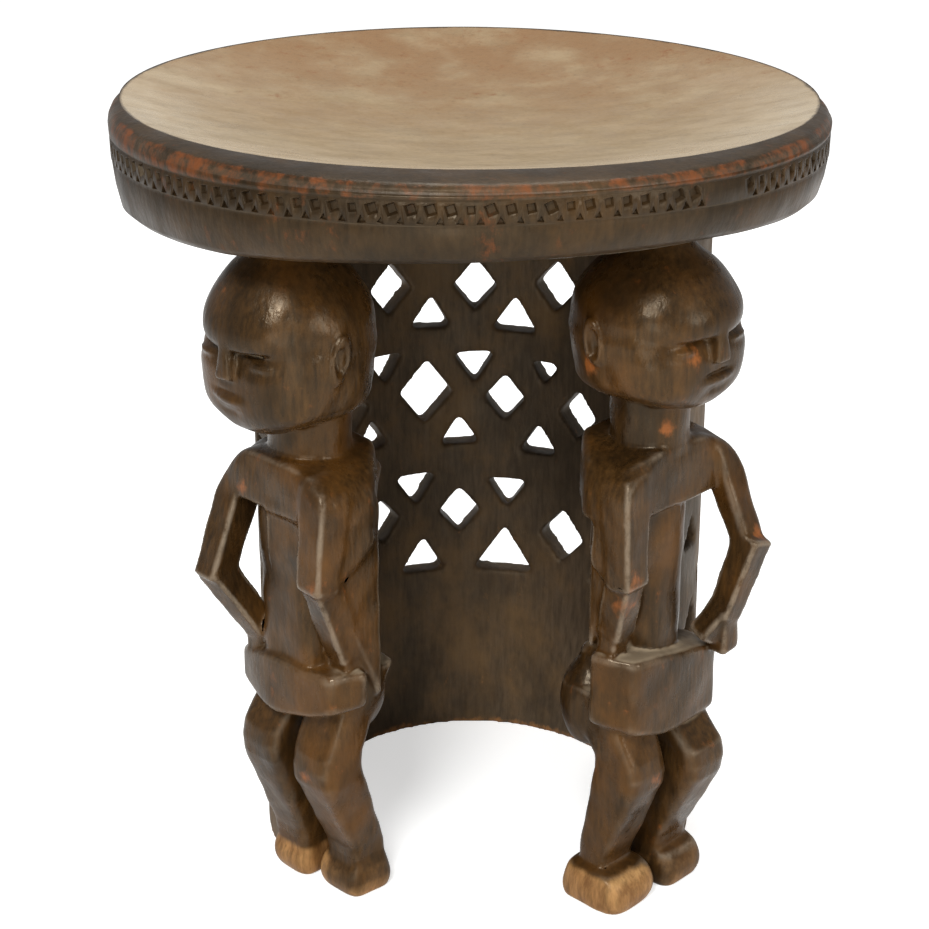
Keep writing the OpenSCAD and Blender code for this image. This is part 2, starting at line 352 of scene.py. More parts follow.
PARTS = ["head", "neck", "torso", "loincloth", "front_upper_arm", "side_upper_arm", "front_forearm",
         "side_forearm", "front_leg", "side_leg", "front_foot", "side_foot"]
SIDES = (("front", 1), ("side", -1))

# Levels of the head: height, reach to the back, to the face and to each side of its axis.
# Heights are typed for a chin at 266 mm and a crown at 345 mm, and stretched to the real ones
CHIN, CROWN = 266.0, 345.0
SKULL = [(305, 38.5, 39, 38.5), (310, 39.5, 40.5, 39), (317, 39, 40, 38.5), (325, 36.5, 37, 35.5),
         (332, 32, 33, 31.5), (339, 26, 27.5, 25.5), (345, 19, 21, 19)]
FACE = [(262, 18, 25, 14), (265, 23, 30, 19), (268, 29, 32.5, 26), (271, 33, 34, 32), (275, 35, 35.5, 36),
        (281, 36, 36.5, 38), (288, 37.5, 36.5, 39), (295, 38, 36, 39.5), (299, 38.5, 34.5, 39.5),
        (303, 39, 33.5, 39.5), (308, 38.2, 32, 38.2), (318, 33, 24, 32)]
# The figures end in the seat's underside, and their feet below the ankle line
FIGURE_TOP = 352.0
ANKLE_LINE = 22.5
GRID_STEP = 1.2


def through(z, knots, values):
    """A smooth line through values typed at some heights."""
    knots, values = np.array(knots, float), np.array(values, float)
    slope = np.gradient(values, knots)
    i = np.clip(np.searchsorted(knots, z) - 1, 0, len(knots) - 2)
    gap = knots[i + 1] - knots[i]
    t = unit((z - knots[i]) / gap)
    a, b = values[i], values[i + 1]
    return (a * (1 + 2 * t) * (1 - t) ** 2 + b * t * t * (3 - 2 * t) +
            gap * t * (1 - t) * (slope[i] * (1 - t) - slope[i + 1] * t)).astype(np.float32)


def loft(p, levels, power, faceted=False, back_power=None):
    """A form whose section at each height is a rounded oblong: (z, back, front, half width, middle)."""
    t = np.array(levels, float)
    z = p[2]
    line = np.interp if faceted else through
    back, front, half, middle = (np.float32(line(z, t[:, 0], t[:, i])) for i in (1, 2, 3, 4))
    deep = (front - back) / 2
    x = (p[0] - (back + front) / 2) / deep
    if back_power is not None:
        power = np.where(x > 0, np.float32(power), np.float32(back_power))
    x = np.abs(x)
    y = np.abs((p[1] - middle) / half)
    side = ((x ** power + y ** power + 1e-9) ** (1.0 / power) - 1.0) * np.minimum(deep, half)
    return soft_max(side, np.maximum(t[0, 0] - z, z - t[-1, 0]), 3.0)


def around(at, reach):
    """The low and high corner of a window round a place."""
    return [at[i] - reach[i] for i in range(3)], [at[i] + reach[i] for i in range(3)]


def ear_ring(p, at):
    """A leaning oval ring that stands out from the side of the head."""
    x, y = (p[0] - at[0]) + 0.2 * (p[2] - at[2]), p[2] - at[2]
    ring = np.abs(np.sqrt((x / 5.0) ** 2 + (y / 10.8) ** 2) - 0.8) * 6.0 - 1.7
    ring = soft_max(ring, -(x - 4.0) * 0.9 - 9.0, 1.0)
    return soft_max(ring, np.abs(p[1] - at[1]) - 3.2, 1.5)


def carve_head(wood, f):
    u, chin = f["skull_u"], f["chin_z"]
    stretch = (CROWN - chin) / (CROWN - CHIN)

    def at(z):
        return chin + (z - CHIN) * stretch

    def levels(table):
        return [(at(z), u - back, u + front, half, 0) for z, back, front, half in table]

    def zone(back, front, half, z0, z1):
        return (u + back, -half, at(z0)), (u + front, half, at(z1))
    whole = (u - 60, -60, chin - 14), (u + 60, 60, 374)
    wood.add(*whole, 0.5, "head", loft, levels(SKULL) + [(366, u - 10, u + 10, 10, 0)], 2.1)
    wood.add(*whole, 1.5, "head", loft, levels(FACE), 3.0, False, 2.1)
    # The nose, and for each eye the lid and the slit
    wood.add(*zone(10, 60, 20, 280, 318), 1.5, "head", bar, (u + 36.5, -1, at(310)), (u + 36.5, -1, at(291)),
             (3.6, 2.2), (4.8, 5.2), 1.5)
    for side in (-1, 1):
        lid, slit = (u + 27.5, side * 17 - 1, at(299.5)), (u + 37, side * 15 - 1, at(304))
        wood.add(*zone(0, 50, 40, 290, 312), 1.0, "head", egg, lid, (8, 11, 3.0))
        wood.cut(*zone(0, 50, 40, 296, 312), 1.0, egg, slit, (7, 13, 1.0))
    # The lips, the line of the mouth and the hollow below
    wood.add(*zone(0, 60, 50, 265, 292), 1.2, "head", egg, (u + 28.5, -2, at(281)), (10.5, 18, 4.2))
    wood.cut(*zone(0, 60, 50, 278, 291), 0.8, egg, (u + 42, -3, at(284)), (7.5, 20, 0.9))
    wood.cut(*zone(0, 60, 50, 266, 282), 2.0, egg, (u + 39.5, -2, at(274)), (5.5, 11, 1.8))
    for side in (-1, 1):
        place = (u + f["ear_u"], side * 38.3, at(302))
        pit = (place[0] + 0.5, place[1] + side * 3.0, place[2] - 1)
        wood.add(*around(place, (18, 10, 26)), 1.2, "head", ear_ring, place)
        wood.cut(*around(place, (18, 12, 26)), 2.2, egg, pit, (2.6, 4.0, 6.2))


def lean(p, f, shape):
    """Cuts a shape down to the lean of the chest."""
    return soft_max(shape, plane(p, (f["chest_front"], 0, f["neckline"] - 5), (0.9, 0, 0.3)), 4.0)


def fall(p, f, side, shape):
    """Cuts a shape down to the fall of the shoulder."""
    slope = f["slopes"][0 if side > 0 else 1]
    return soft_max(shape, plane(p, (100, side * 23, f["neckline"]), (0, side * slope, 1.0)), 8.0)


def carve_trunk(wood, f):
    nu, nl, radius = f["neck_u"], f["neckline"], f["neck_r"]
    front, pec, belt = f["chest_front"], f["pec_z"], f["belt_top"]

    def neck(p):
        x, y = (p[0] - nu) / (radius + 0.5), p[1] / radius
        z0, z1 = nl - 4, f["chin_z"] + 14
        side = (np.sqrt(x * x + y * y) - 1.0) * radius
        return soft_max(side, np.abs(p[2] - (z0 + z1) / 2) - (z1 - z0) / 2, 2.0)
    wood.add((nu - 40, -40, nl - 30), (nu + 40, 40, 310), 1.0, "neck", neck)

    def chest(p):
        half = ((front - 84) / 2, 39.3, (nl - pec) / 2 + 7)
        body = lean(p, f, block(p, ((front + 84) / 2, 0.2, (nl + pec) / 2 - 7), half, 2.5))
        for side in (-1, 1):
            body = fall(p, f, side, body)
            body = soft_max(body, plane(p, (84, side * 16, nl), (-0.72, side * 0.7, 0)), 4.0)
            body = soft_max(body, plane(p, (92, side * 30, pec + 2), (-0.6, side * 0.6, -0.55)), 3.0)
        return soft_max(body, plane(p, (front, 0, pec), (0.12, 0, -1)), 2.5)
    wood.add((50, -70, pec - 40), (180, 70, nl + 20), 2.0, "torso", chest)
    spot = f["side_shoulder"]
    wood.add((60, -70, pec - 30), (180, 0, nl + 20), 5.0, "torso", egg,
             (spot[0] - 12, spot[1] + 3, spot[2] - 4), (19, 11, 13))
    back, front, half, power = f["trunk"]
    wood.add((50, -60, belt - 40), (180, 60, pec + 36), 2.5, "torso", loft,
             [(belt - 20, back - 4, front - 4, half + 2, 0), (belt + 6, back, front - 2.5, half, 0),
              ((belt + pec) / 2, back, front - 1.5, half - 0.5, 0),
              (pec - 3, back - 2, front - 2, half + 1, 0),
              (pec + 16, back - 6, front - 9, half + 5, 0)], power)


def carve_arm(wood, f, name, side):
    pec, belt = f["pec_z"], f["belt_top"]
    shoulder, elbow, wrist = (f[name + joint] for joint in ("_shoulder", "_elbow", "_wrist"))
    zone = (50, min(-4, side * 70), wrist[2] - 46), (190, max(4, side * 70), f["neckline"] + 20)

    def under_slope(p, shape):
        return lean(p, f, fall(p, f, side, shape))

    def upper(p):
        return under_slope(p, bar(
            p, (shoulder[0], shoulder[1], shoulder[2] + 8), (elbow[0], elbow[1], elbow[2] - 3),
            (9, 8.5), (6.8, 8.2) if side > 0 else (7.6, 7.6), 1.5))
    wood.add(*zone, 2.0, name + "_upper_arm", upper)
    if side > 0:
        # The near arm runs back into the flank as one flat panel
        back, wide = f["panel"]

        def blade(p):
            half = ((elbow[0] + 2 - back) / 2, 8.0, 32)
            body = block(p, ((back + elbow[0] + 2) / 2, 31, pec - 3), half, 2.5)
            body = soft_max(body, plane(p, (elbow[0] - 9, 0, elbow[2] - 2), (-0.6, 0, -0.8)), 4.0)
            return under_slope(p, body)
        wood.add(*zone, 2.0, name + "_upper_arm", blade)

        def flank(p):
            half = ((elbow[0] - back) / 2 + 3, wide - 10, (pec - belt) / 2 + 12)
            body = block(p, ((back + elbow[0]) / 2 - 3, 10, (belt + pec) / 2 - 6), half, 3.0)
            return soft_max(body, plane(p, (elbow[0] - 3, 0, elbow[2]), (0.91, 0, -0.41)), 3.0)
        wood.add(*zone, 4.0, "torso", flank)
    u, w, z = wrist
    # The forearm, the hand on the belt and its heel
    for ends in (((elbow[0] - 1, elbow[1], elbow[2] + 3), wrist, (7.6, 7.4), (6.6, 7.0), 1.5),
                 ((u + 1, w + side, z + 4), (u - 7, w - side * 9, belt - 3), (6.5, 7.0), (6.0, 6.0), 2.5),
                 ((u, w, z + 2), (u - 2, w + side * 3, belt - 12), (6, 6.5), (6, 6), 2.5)):
        wood.add(*zone, 2.0, name + "_forearm", bar, *ends)


def carve_hips(wood, f):
    belt, low, front, back = f["belt_top"], f["belt_low"], f["belt_front"], f["belt_back"]
    w0, w1 = f["belt_w"]
    edge = np.array(f["belt_edge"], float)

    def cloth(p):
        under, over = through(p[1], edge[:, 0], edge[:, 1]), through(p[1], edge[:, 0], edge[:, 2])
        reach = f["belt_bulge"] * (1.0 - ((p[1] - (w0 + w1) / 2) / 40.0) ** 2)
        q = (p[0] - reach * unit((p[0] - back) / (front - back)), p[1], p[2])
        half = ((front - back) / 2, (w1 - w0) / 2, 60)
        body = block(q, ((front + back) / 2, (w0 + w1) / 2, 120), half, 4.5)
        body = soft_max(body, plane(q, (front, w1 - 8, 0), (0.5, 0.86, 0)), 3.0)
        body = soft_max(body, (under - p[2]) * 0.97, 4.0)
        body = soft_max(body, (p[2] - over) * 0.97, 4.0)
        hips = block(p, (f["hip_u"] + 8, 0, (belt + low) / 2 - 6), (15, 22, (belt - low) / 2), 7.0)
        return soft_min(body, hips, 3.0)
    wood.add((40, -70, low - 30), (190, 70, belt + 30), 1.5, "loincloth", cloth)
    for side in (-1, 1):
        wood.add((40, -60, low - 50), (150, 60, low + 50), 3.0, "loincloth", egg,
                 (f["hip_u"], side * 16, low + 3), (15, 16, 25))


def carve_leg(wood, f, name, side):
    low, belt_front = f["belt_low"], f["belt_front"]
    (ku, kw, kz), (au, aw, az) = f[name + "_knee"], f[name + "_ankle"]
    knee_back, heel = f[name + "_back"]
    a, b = min(-10, side * 60), max(10, side * 60)
    wood.add((40, a, -10), (190, b, low + 30), 2.0, name + "_leg", loft, [
        (0, heel, au - 4, 12, aw), (az - 8, heel, au - 1, 12.5, aw), (az, heel + 0.5, au, 12.8, aw),
        ((az + kz) / 2, (heel + knee_back) / 2 + 1, (au + ku) / 2 + 1, 13.6, (aw + kw) / 2),
        (kz - 6, knee_back, ku - 1, 14.3, kw), (kz + 2, knee_back + 1, ku, 14.5, kw),
        (kz + 10, knee_back + 1, ku - 2, 14.5, kw),
        (low + 2, knee_back - 12, belt_front - 10, 15, (kw + side * 16) / 2),
        (low + 16, 84, belt_front - 14, 15, side * 16)], 5.0, True)
    back, front, half, middle = f[name + "_foot"]
    # Height, and how much the foot draws in there at the heel, the toes and the sides
    draw = [(-8, 2, 3, 2), (0, 1.2, 2, 1), (5, 0, 0, 0), (14, 1, 1, 0.3), (18, 2.5, 4, 1.2), (22, 6, 11, 3)]
    wood.add((40, a - 8, -10), (180, b + 8, 40), 1.5, name + "_foot", loft,
             [(z, back + x, front - y, half - w, middle) for z, x, y, w in draw], 4.5)


def carve_figure(f):
    wood = Wood((48, -68, -6), (184, 68, 374), GRID_STEP)
    carve_trunk(wood, f)
    carve_head(wood, f)
    for name, side in SIDES:
        carve_arm(wood, f, name, side)
    carve_hips(wood, f)
    for name, side in SIDES:
        carve_leg(wood, f, name, side)
    # The knife's unevenness over the whole figure
    u, w, z = wood.window(wood.low, (999, 999, 999))[1]
    wood.field += (0.16 * np.sin(0.21 * u + 0.13 * w + 0.07 * z + 1.0) +
                   0.14 * np.sin(0.19 * w - 0.11 * u + 0.23 * z + 2.0) +
                   0.12 * np.sin(0.31 * u - 0.17 * w + 0.29 * z)).astype(np.float32)
    wood.cut((40, -70, -10), (190, 70, 6), 0.5, lambda p: p[2])
    wood.cut((40, -70, 340), (190, 70, 380), 0.5, lambda p: FIGURE_TOP - p[2])
    return wood


def name_parts(wood, f, p):
    """The part of the figure that each point of its skin belongs to."""
    u, w, z = p
    edge = np.array(f["belt_edge"], float)
    over = through(w, edge[:, 0], edge[:, 2])
    number = {part: i for i, part in enumerate(PARTS)}
    d = {part: np.minimum.reduce([form(p, *sizes) for form, sizes in wood.shapes[part]]) for part in PARTS}
    leg = np.where(d["front_leg"] < d["side_leg"], number["front_leg"], number["side_leg"])
    foot = np.where(d["front_foot"] < d["side_foot"], number["front_foot"], number["side_foot"])
    label = np.where(d["loincloth"] <= np.minimum(d["front_leg"], d["side_leg"]), number["loincloth"], leg)
    label = np.where(z < ANKLE_LINE, foot, label)
    above = (z > over + 2.5) & (z <= f["neckline"] + 9)
    label = np.where(above, number["torso"], label)
    for name, side in SIDES:
        shoulder, elbow, wrist = (np.array(f[name + joint]) for joint in ("_shoulder", "_elbow", "_wrist"))
        up, down = shoulder - elbow, wrist - elbow
        n = up / np.linalg.norm(up) - down / np.linalg.norm(down)
        higher = dot((u - elbow[0], w - elbow[1], z - elbow[2]), n) > 0
        arm = above & (side * w > (21.5 if side > 0 else 23.0))
        label = np.where(arm & higher, number[name + "_upper_arm"], label)
        hand = above & (side * w > 8) & (d[name + "_forearm"] < d["torso"] - 0.3) & ~higher
        label = np.where((arm & ~higher) | hand, number[name + "_forearm"], label)
    label = np.where(z > f["neckline"] + 9, number["neck"], label)
    return np.where((z > f["neckline"] + 12) & (d["head"] <= d["neck"] + 1.6), number["head"], label)


# Pieces in the shared frame

TURN = {"left": -46.0, "right": 46.0}
SHIFT = 4.0


def figure_to_stool(points, side):
    """Figure millimetres to stool metres; the right figure's w runs the other way."""
    a = math.radians(TURN[side])
    s, c = math.sin(a), math.cos(a)
    u, w, z = points.T
    w = w if side == "left" else -w
    return np.stack([u * s + w * c + SHIFT, w * s - u * c, z], 1) * MM


def rows(items, key="vector"):
    """Places or normals of a mesh's points, one row for each."""
    flat = np.empty(len(items) * 3)
    items.foreach_get(key, flat)
    return flat.reshape(-1, 3)


def skin_normals(points, faces):
    mesh = make_mesh("whole", points.tolist(), faces.tolist())
    mesh.validate()
    normals = rows(mesh.vertex_normals)
    bpy.data.meshes.remove(mesh)
    return normals


# Where a wood is worn bare or pale: two tones and the noise between them (scale, stretch, range),
# the russet that comes in towards the back, the share of dark grain and the tone of its edges (wear with
# painted sheen)
BARE_SEAT = {"dark": (0.200, 0.145, 0.078), "light": (0.345, 0.262, 0.158), "scale": 55.0,
             "stretch": (0.6, 1.3, 1.0), "range": (0.12, 0.80), "russet": (0.205, 0.115, 0.052),
             "grain": 0.3, "edge": (0.46, 0.38, 0.27)}
BARE_FOOT = {"dark": (0.115, 0.050, 0.015), "light": (0.380, 0.195, 0.070), "scale": 150.0,
             "stretch": (1.2, 1.2, 0.25), "range": (0.30, 0.72), "russet": (0.34, 0.130, 0.030),
             "grain": 0.75, "edge": (0.52, 0.33, 0.14)}
# Dark, light and rubbed tones
SEAT_TONES = ((0.014, 0.0083, 0.0038), (0.046, 0.0265, 0.0115), (0.155, 0.042, 0.0095))
DRUM_TONES = ((0.034, 0.022, 0.013), (0.105, 0.070, 0.042), (0.30, 0.13, 0.04))
FIGURE_TONES = ((0.0125, 0.0066, 0.0025), (0.078, 0.0370, 0.0105), (0.26, 0.080, 0.018))
# Pale tone on ridges and edges: wear, with a painted sheen standing in for their highlights
EDGE_WEAR_AND_SHEEN = (0.23, 0.185, 0.135)
DUST = (0.30, 0.235, 0.155)
SHEEN = (1.0, 0.84, 0.62, 1.0)


def wood(name, dark, light, rub, gloss, patch, shine, bare=None):
    """Handled carved wood: grain, uneven patina, edges lightened by wear and a painted sheen, rubbed spots,
    and dust in the hollows.
    """
    material = bpy.data.materials.new(name)
    material.use_nodes = True
    shade = material.node_tree.nodes["Principled BSDF"].inputs
    kit = Nodes(material.node_tree)
    blend, ramp, times, plus, noise = kit.blend, kit.ramp, kit.times, kit.plus, kit.noise
    where = kit.add("ShaderNodeTexCoord").outputs["Object"]
    edge, hollow, rub_mark, dish = (kit.add("ShaderNodeAttribute", attribute_name=key).outputs["Fac"]
                                    for key in ("edge", "hollow", "rubbed", "dish"))
    grain = noise(where, 420.0, (1.0, 1.0, 0.15), 5.0, 0.6)
    cloud = noise(where, 26.0, (1, 1, 0.7), 5.0, 0.6)
    warm = noise(where, 19.0, (1.2, 0.8, 0.8), 6.0, 0.7)
    patches = noise(where, 48.0, (1, 1, 0.6), 6.0, 0.65)
    crumbs = noise(where, 150.0, (1, 1, 0.7), 5.0, 0.7)
    tool = noise(where, 210.0, (1, 1, 0.6), 3.0, 0.6)

    # Grain, ochre and near-black clouds
    ochre = (light[0] * 1.45, light[1] * 1.2, light[2] * 0.75)
    colour = blend(ramp(grain, 0.12, 0.92), dark, light)
    colour = blend(times(ramp(warm, 0.42, 0.72), 0.75), colour, ochre)
    colour = blend(ramp(cloud, 0.38, 0.72, 0.0, 0.65), colour, tuple(c * 0.5 for c in dark))
    if bare is not None:
        across = noise(where, bare["scale"], bare["stretch"], 6.0, 0.7)
        pale = blend(ramp(across, *bare["range"]), bare["dark"], bare["light"])
        pale = blend(ramp(patches, 0.50, 0.72, 0.0, 0.35), pale, bare["dark"])
        y = kit.add("ShaderNodeSeparateXYZ", {"Vector": where}).outputs["Y"]
        back = times(ramp(y, -0.08, 0.16, 0.10, 1.0), ramp(cloud, 0.28, 0.58, 0.3, 1.0))
        pale = blend(back, pale, bare["russet"])
        pale = blend(ramp(grain, 0.50, 0.80, 0.0, bare["grain"]), pale, light)
        # Bare edges paler: wear with a painted sheen, and on the dish painted light towards its rim
        pale = blend(times(edge, ramp(across, 0.2, 0.7, 0.3, 0.9)), pale, bare["edge"])
        share = plus(dish, times(patches, 0.8))
        colour = blend(ramp(share, 0.72, 1.08), colour, pale)

    # Edges painted lighter, partly wear and partly a painted sheen on the ridges, but not where the wood is
    # bare anyway
    edge_wear_and_sheen = times(ramp(edge, 0.10, 0.55), ramp(crumbs, 0.25, 0.60))
    edge_wear_and_sheen = times(edge_wear_and_sheen, ramp(dish, 0.35, 0.6, 1.0, 0.0))
    edge_wear_and_sheen_tone = tuple(0.25 * g + w for g, w in zip(light, EDGE_WEAR_AND_SHEEN))
    colour = blend(times(edge_wear_and_sheen, 0.55), colour, edge_wear_and_sheen_tone)

    # Red-brown spots, at the marks and by chance
    spot = times(ramp(patches, patch, patch + 0.09), ramp(dish, 0.0, 1.0, 1.0, 0.25))
    rubbed = plus(times(rub_mark, 0.55), plus(patches, times(crumbs, 1.3)))
    rubbed = kit.maths("MAXIMUM", ramp(rubbed, 1.34, 1.78), times(spot, 0.75))
    colour = blend(times(rubbed, 0.8), colour, rub)
    dust = times(ramp(hollow, 0.35, 1.0), ramp(cloud, 0.32, 0.62))
    colour = blend(times(dust, 0.75), colour, DUST)
    kit.join(colour, shade["Base Color"])

    # Gloss on the edges, none in the dust, and the ripple of the knife
    rough = plus(ramp(patches, 0.3, 0.7, gloss - 0.08, gloss + 0.14), times(dust, 0.35))
    kit.join(kit.maths("SUBTRACT", rough, times(edge, 0.14)), shade["Roughness"])
    height = plus(times(tool, 0.7), times(grain, 0.3))
    bump = kit.add("ShaderNodeBump", {"Height": height, "Strength": 0.35, "Distance": 0.0012})
    kit.join(bump.outputs["Normal"], shade["Normal"])
    shade["Specular IOR Level"].default_value = shine
    shade["Specular Tint"].default_value = SHEEN
    return material


WOODS = {
    "dish_wood": wood("dish_wood", *SEAT_TONES, gloss=0.36, patch=0.66, shine=0.26, bare=BARE_SEAT),
    "drum_wood": wood("drum_wood", *DRUM_TONES, gloss=0.55, patch=0.70, shine=0.42),
    "figure_wood": wood("figure_wood", *FIGURE_TONES, gloss=0.29, patch=0.67, shine=0.30),
    "foot_wood": wood("foot_wood", *FIGURE_TONES, gloss=0.42, patch=0.67, shine=0.26, bare=BARE_FOOT),
}


def mark_points(mesh, **values):
    for name, value in values.items():
        data = mesh.attributes.get(name) or mesh.attributes.new(name, "FLOAT", "POINT")
        value = np.asarray(value, np.float32) + np.zeros(len(mesh.vertices), np.float32)
        data.data.foreach_set("value", value)


def hand_over(name, mesh, slot):
    obj = make_object(name + "_carved", mesh)
    mesh.materials.clear()
    mesh.materials.append(WOODS[slot])
    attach(obj, "root")
    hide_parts(name)


# Naming and parting the carved skin

def settle_labels(faces, label, kinds, rounds):
    """Lets each face follow most of its neighbours, so that the borders run clean."""
    a, b = faces.ravel(), np.roll(faces, -1, 1).ravel()
    owner = np.repeat(np.arange(len(faces)), faces.shape[1])
    key = np.minimum(a, b).astype(np.int64) * (int(faces.max()) + 1) + np.maximum(a, b)
    order = np.argsort(key, kind="stable")
    key, owner = key[order], owner[order]
    same = np.flatnonzero(key[1:] == key[:-1])
    a, b = owner[same], owner[same + 1]
    for _ in range(rounds):
        votes = np.zeros((len(faces), kinds))
        np.add.at(votes, (a, label[b]), 1.0)
        np.add.at(votes, (b, label[a]), 1.0)
        votes[np.arange(len(faces)), label] += 1.5
        label = votes.argmax(1)
    return label


def relax(points, faces, rounds, share):
    """Evens out the grid's ripple."""
    a, b = faces.ravel(), np.roll(faces, -1, 1).ravel()
    count = np.bincount(a, minlength=len(points))[:, None]
    for _ in range(rounds):
        total = np.stack([np.bincount(a, points[b, i], len(points)) for i in range(3)], 1)
        points = points + share * (total / np.maximum(count, 1) - points)
    return points


def open_loops(faces):
    """The rings of points round a piece's open borders."""
    sides = {}
    for a, b in zip(faces.ravel().tolist(), np.roll(faces, -1, 1).ravel().tolist()):
        if (b, a) in sides:
            sides[b, a] -= 1
            if not sides[b, a]:
                del sides[b, a]
        else:
            sides[a, b] = sides.get((a, b), 0) + 1
    follow = {}
    for (a, b), count in sides.items():
        follow.setdefault(a, []).extend([b] * count)
    while follow:
        start = next(iter(follow))
        loop, here = [start], start
        while True:
            onward = follow[here].pop()
            if not follow[here]:
                del follow[here]
            if onward == start:
                break
            loop.append(onward)
            here = onward
        yield loop


def sides_of(polygons):
    return [(a, b) for ring in polygons for a, b in zip(ring, ring[1:] + ring[:1])]


def closed_piece(name, points, faces, normals, marks):
    """One part of a skin, closed with a cap over each open border."""
    used, new = np.unique(faces, return_inverse=True)
    faces = new.reshape(faces.shape)
    points, normals = points[used], normals[used]
    caps, middles = [], []
    for loop in open_loops(faces):
        fill = tessellate_polygon([[Vector(points[i]) for i in loop]])
        count = len(loop)
        along = sum((b - a) % count == 1 for a, b in sides_of(fill))
        fill = [tri[::-1] if along > count / 2 else tri for tri in fill]
        sides = set(sides_of(fill))
        rim = {(b, a) for a, b in sides} - sides
        if len(fill) == count - 2 and rim == {(i, (i + 1) % count) for i in range(count)}:
            caps.extend([loop[i] for i in tri] for tri in fill)
            continue
        # A border that can't be filled so gets a fan round its middle
        centre = len(points) + len(middles)
        middles.append(points[loop].mean(0))
        caps.extend([b, a, centre] for a, b in sides_of([loop]))
    if middles:
        points = np.concatenate([points, np.array(middles)])
        normals = np.concatenate([normals, np.tile([0.0, 0.0, 1.0], (len(middles), 1))])
    mesh = make_mesh(name, points.tolist(), faces.tolist() + caps)
    smooth = np.ones(len(mesh.polygons), bool)
    smooth[len(faces):] = False
    mesh.polygons.foreach_set("use_smooth", smooth)
    none = np.zeros(len(middles))
    mark_points(mesh, **{key: np.concatenate([value[used], none]) for key, value in marks.items()})
    mesh.normals_split_custom_set_from_vertices(normals.tolist())
    return mesh


def bend_at(carved, reach, points):
    """How much the wood bends round each point: above zero on ridges, below in hollows."""
    field = np.clip(carved.field, -12.0, 12.0)
    grid = -6.0 * field
    for axis in range(3):
        grid += np.roll(field, reach, axis) + np.roll(field, -reach, axis)
    grid = grid / 6.0
    # Read between the eight nearest corners
    q = (points - carved.low) / carved.step
    i = np.clip(np.floor(q).astype(int), 0, np.array(grid.shape) - 2)
    t = q - i
    total = 0.0
    ways = [(x, y, z) for x in (0, 1) for y in (0, 1) for z in (0, 1)]
    for way in ways:
        sx, sy, sz = (t[:, axis] if way[axis] else 1 - t[:, axis] for axis in range(3))
        total = total + sx * sy * sz * grid[i[:, 0] + way[0], i[:, 1] + way[1], i[:, 2] + way[2]]
    return total


# Rubbed spots: place (u, w, z) and reach in millimetres
RUBBED = {
    "left": [(142, 34, 191, 3.5), (124, 28, 165, 3), (150, 13, 300, 3), (138, -20, 226, 4), (133, 34, 122, 3),
             (143, 9, 297, 3.5), (134, 14, 78, 3), (113, 9, 44, 3.5), (146, 16, 280, 2.5)],
    "right": [(133, 34, 192, 4), (146, 15, 304, 4), (150, -42, 198, 3), (148, -38, 188, 2.5),
              (131, 8, 261, 3), (108, 39, 296, 4), (133, 10, 74, 3.5), (140, -22, 84, 2.5),
              (128, 32, 178, 5), (141, 26, 288, 3)],
}
# How far the near and the far foot are worn to bare wood
FOOT_WEAR = {"left": (0.42, 0.70), "right": (1.0, 0.35)}


def carved_marks(carved, side, f, points, upward):
    """Where a figure's edges take wear and a painted sheen, and where it is dusty, rubbed red or bare, from 0
    to 1 at each point.
    """
    z = points[:, 2]
    sharp, broad = (bend_at(carved, reach, points) for reach in (2, 5))
    ledge = unit((upward - 0.55) / 0.4) * (z < f["belt_top"] + 14) * (z > f["belt_low"])
    hollow = unit(-sharp / 0.9 - 0.15) + np.clip(-broad / 3.0 - 0.3, 0, 0.5) + 0.85 * ledge
    rubbed = np.zeros(len(points))
    for u, w, height, reach in RUBBED[side]:
        away = np.sqrt(((points - (u, w, height)) ** 2).sum(1))
        rubbed = np.maximum(rubbed, unit(1.1 - away / (2.0 * reach)))
    near, far = FOOT_WEAR[side]
    low = unit((23.5 - z) / 8.0) + 0.3 * unit((9 - z) / 6.0)
    bare = low * (far + (near - far) * unit(points[:, 1] / 6.0))
    # The heads are evenly dark, so the wear and painted sheen on their edges hardly show
    edge = unit(sharp / 0.9) * np.where(z > f["chin_z"], 0.3, 1.0)
    return {"edge": edge, "hollow": hollow, "rubbed": rubbed, "dish": unit(bare)}


def build_figure(side, f):
    carved = carve_figure(f)
    points, faces = skin(carved.field, carved.low, carved.step)
    points = relax(points, faces, 2, 0.4)
    label = settle_labels(faces, name_parts(carved, f, points[faces].mean(1).T), len(PARTS), 3)
    marks = carved_marks(carved, side, f, points, skin_normals(points, faces)[:, 2])
    if side == "right":
        faces = faces[:, ::-1]
    placed = figure_to_stool(points, side)
    normals = skin_normals(placed, faces)
    for number, part in enumerate(PARTS):
        name = side + "_" + part
        mesh = closed_piece(name, placed, faces[label == number], normals, marks)
        hand_over(name, mesh, "foot_wood" if part.endswith("foot") else "figure_wood")


# Seat

# Azimuth from the front, rim height, groove height and lower edge height
SEAT_WALK = [(-180, 400, 388, 361), (-120, 400, 386, 350), (-90, 399.8, 384, 345), (-66, 399.6, 387.5, 352),
             (-40, 399.2, 389, 354), (-20, 399.2, 391, 360), (0, 399.5, 391.3, 362.5),
             (20, 399.2, 392.7, 363.8), (40, 398.4, 390.6, 363), (57, 397.8, 390, 359),
             (90, 397.0, 386, 354), (120, 397.6, 386, 353)]
SEAT_TOP = 400.0
# The dish is a little shorter than it is wide and set back from the front
DISH_WIDE, DISH_DEEP, DISH_BACK = 170.0, 160.0, 10.0
DISH_DEPTH = 22.0
# The underside is an arch, lowest along the left to right middle line
ARCH_LOW = 345.0
ARCH_FRONT = 360.0
ARCH_RADIUS = 1930.0
UNDER_EDGE = 162.0
